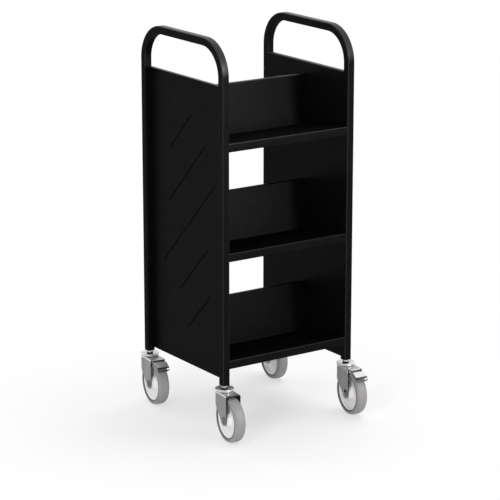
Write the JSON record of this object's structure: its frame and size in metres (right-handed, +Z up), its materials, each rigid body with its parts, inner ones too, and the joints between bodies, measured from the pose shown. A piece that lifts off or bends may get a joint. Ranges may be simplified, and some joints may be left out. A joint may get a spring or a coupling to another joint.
{
  "type": "book trolley",
  "caption": "Double-sided steel book trolley: sloping shelves back to back between bent-tube side frames with push handles, on swivel castors, with foot brakes on one diagonal.",
  "frame": {"origin": "on the floor, under the middle of the trolley's footprint box with its castors as they stand at rest", "axes": "+Z up, +X along the shelves towards the right side frame, +Y from the front shelves to the rear shelves"},
  "size_m": [0.4694, 0.5142, 1.0902],
  "materials": {
    "powder_coat": "satin black powder coat with a fine texture",
    "zinc_plate": "zinc-plated pressed steel",
    "plated_steel": "bright plated fastener steel",
    "black_steel": "blackened steel",
    "nylon": "moulded nylon",
    "wheel_plastic": "light grey moulded plastic",
    "tyre_rubber": "grey non-marking rubber"
  },
  "bodies": {
    "frame": {"castor_stem_front_left": "black_steel", "castor_stem_front_right": "black_steel", "castor_stem_rear_left": "black_steel", "castor_stem_rear_right": "black_steel", "leg_insert_front_left": "nylon", "leg_insert_front_right": "nylon", "leg_insert_rear_left": "nylon", "leg_insert_rear_right": "nylon", "shelf_front_bottom": "powder_coat", "shelf_front_middle": "powder_coat", "shelf_front_top": "powder_coat", "shelf_rear_bottom": "powder_coat", "shelf_rear_middle": "powder_coat", "shelf_rear_top": "powder_coat", "side_panel_left": "powder_coat", "side_panel_right": "powder_coat", "side_tube_left": "powder_coat", "side_tube_right": "powder_coat", "swivel_cup_front_left": "zinc_plate", "swivel_cup_front_right": "zinc_plate", "swivel_cup_rear_left": "zinc_plate", "swivel_cup_rear_right": "zinc_plate"},
    "swivel_front_left": {"ball_ring_front_left": "plated_steel", "lower_race_front_left": "zinc_plate", "fork_front_left": "zinc_plate", "axle_bolt_front_left": "plated_steel", "axle_nut_front_left": "plated_steel"},
    "wheel_front_left": {"wheel_bush_front_left": "plated_steel", "wheel_rim_front_left": "wheel_plastic", "tyre_front_left": "tyre_rubber"},
    "swivel_front_right": {"ball_ring_front_right": "plated_steel", "lower_race_front_right": "zinc_plate", "fork_front_right": "zinc_plate", "axle_bolt_front_right": "plated_steel", "axle_nut_front_right": "plated_steel", "brake_pin_front_right": "plated_steel"},
    "wheel_front_right": {"wheel_bush_front_right": "plated_steel", "wheel_rim_front_right": "wheel_plastic", "tyre_front_right": "tyre_rubber"},
    "brake_pedal_front_right": {"brake_pedal_front_right": "zinc_plate"},
    "brake_shoe_front_right": {"brake_shoe_front_right": "zinc_plate"},
    "swivel_rear_left": {"ball_ring_rear_left": "plated_steel", "lower_race_rear_left": "zinc_plate", "fork_rear_left": "zinc_plate", "axle_bolt_rear_left": "plated_steel", "axle_nut_rear_left": "plated_steel", "brake_pin_rear_left": "plated_steel"},
    "wheel_rear_left": {"wheel_bush_rear_left": "plated_steel", "wheel_rim_rear_left": "wheel_plastic", "tyre_rear_left": "tyre_rubber"},
    "brake_pedal_rear_left": {"brake_pedal_rear_left": "zinc_plate"},
    "brake_shoe_rear_left": {"brake_shoe_rear_left": "zinc_plate"},
    "swivel_rear_right": {"ball_ring_rear_right": "plated_steel", "lower_race_rear_right": "zinc_plate", "fork_rear_right": "zinc_plate", "axle_bolt_rear_right": "plated_steel", "axle_nut_rear_right": "plated_steel"},
    "wheel_rear_right": {"wheel_bush_rear_right": "plated_steel", "wheel_rim_rear_right": "wheel_plastic", "tyre_rear_right": "tyre_rubber"}
  },
  "joints": [
    {"name": "swivel_front_left", "type": "hinge", "parent": "frame", "child": "swivel_front_left", "pos_m": [-0.20153, -0.15283, 0.13768], "axis": [0, 0, 1], "continuous": true},
    {"name": "wheel_front_left", "type": "hinge", "parent": "swivel_front_left", "child": "wheel_front_left", "pos_m": [-0.20588, -0.18958, 0.0625], "axis": [0.9931, -0.1175, 0], "continuous": true},
    {"name": "swivel_front_right", "type": "hinge", "parent": "frame", "child": "swivel_front_right", "pos_m": [0.20747, -0.15283, 0.13768], "axis": [0, 0, 1], "continuous": true},
    {"name": "wheel_front_right", "type": "hinge", "parent": "swivel_front_right", "child": "wheel_front_right", "pos_m": [0.20312, -0.18958, 0.0625], "axis": [0.9931, -0.1175, 0], "continuous": true},
    {"name": "brake_pedal_front_right", "type": "hinge", "parent": "swivel_front_right", "child": "brake_pedal_front_right", "pos_m": [0.2016, -0.20249, 0.12798], "axis": [0.9931, -0.1175, 0], "range_deg": [0, 15]},
    {"name": "brake_shoe_front_right", "type": "hinge", "parent": "swivel_front_right", "child": "brake_shoe_front_right", "pos_m": [0.2016, -0.20249, 0.12798], "axis": [0.9931, -0.1175, 0], "range_deg": [0, 2.5]},
    {"name": "swivel_rear_left", "type": "hinge", "parent": "frame", "child": "swivel_rear_left", "pos_m": [-0.20153, 0.23067, 0.13768], "axis": [0, 0, 1], "continuous": true},
    {"name": "wheel_rear_left", "type": "hinge", "parent": "swivel_rear_left", "child": "wheel_rear_left", "pos_m": [-0.20588, 0.19392, 0.0625], "axis": [0.9931, -0.1175, 0], "continuous": true},
    {"name": "brake_pedal_rear_left", "type": "hinge", "parent": "swivel_rear_left", "child": "brake_pedal_rear_left", "pos_m": [-0.2074, 0.18101, 0.12798], "axis": [0.9931, -0.1175, 0], "range_deg": [0, 15]},
    {"name": "brake_shoe_rear_left", "type": "hinge", "parent": "swivel_rear_left", "child": "brake_shoe_rear_left", "pos_m": [-0.2074, 0.18101, 0.12798], "axis": [0.9931, -0.1175, 0], "range_deg": [0, 2.5]},
    {"name": "swivel_rear_right", "type": "hinge", "parent": "frame", "child": "swivel_rear_right", "pos_m": [0.20747, 0.23067, 0.13768], "axis": [0, 0, 1], "continuous": true},
    {"name": "wheel_rear_right", "type": "hinge", "parent": "swivel_rear_right", "child": "wheel_rear_right", "pos_m": [0.20312, 0.19392, 0.0625], "axis": [0.9931, -0.1175, 0], "continuous": true}
  ],
  "couplings": [
    {"joint": "brake_shoe_front_right", "follows": "brake_pedal_front_right", "ratio": 0.16667},
    {"joint": "brake_shoe_rear_left", "follows": "brake_pedal_rear_left", "ratio": 0.16667}
  ]
}
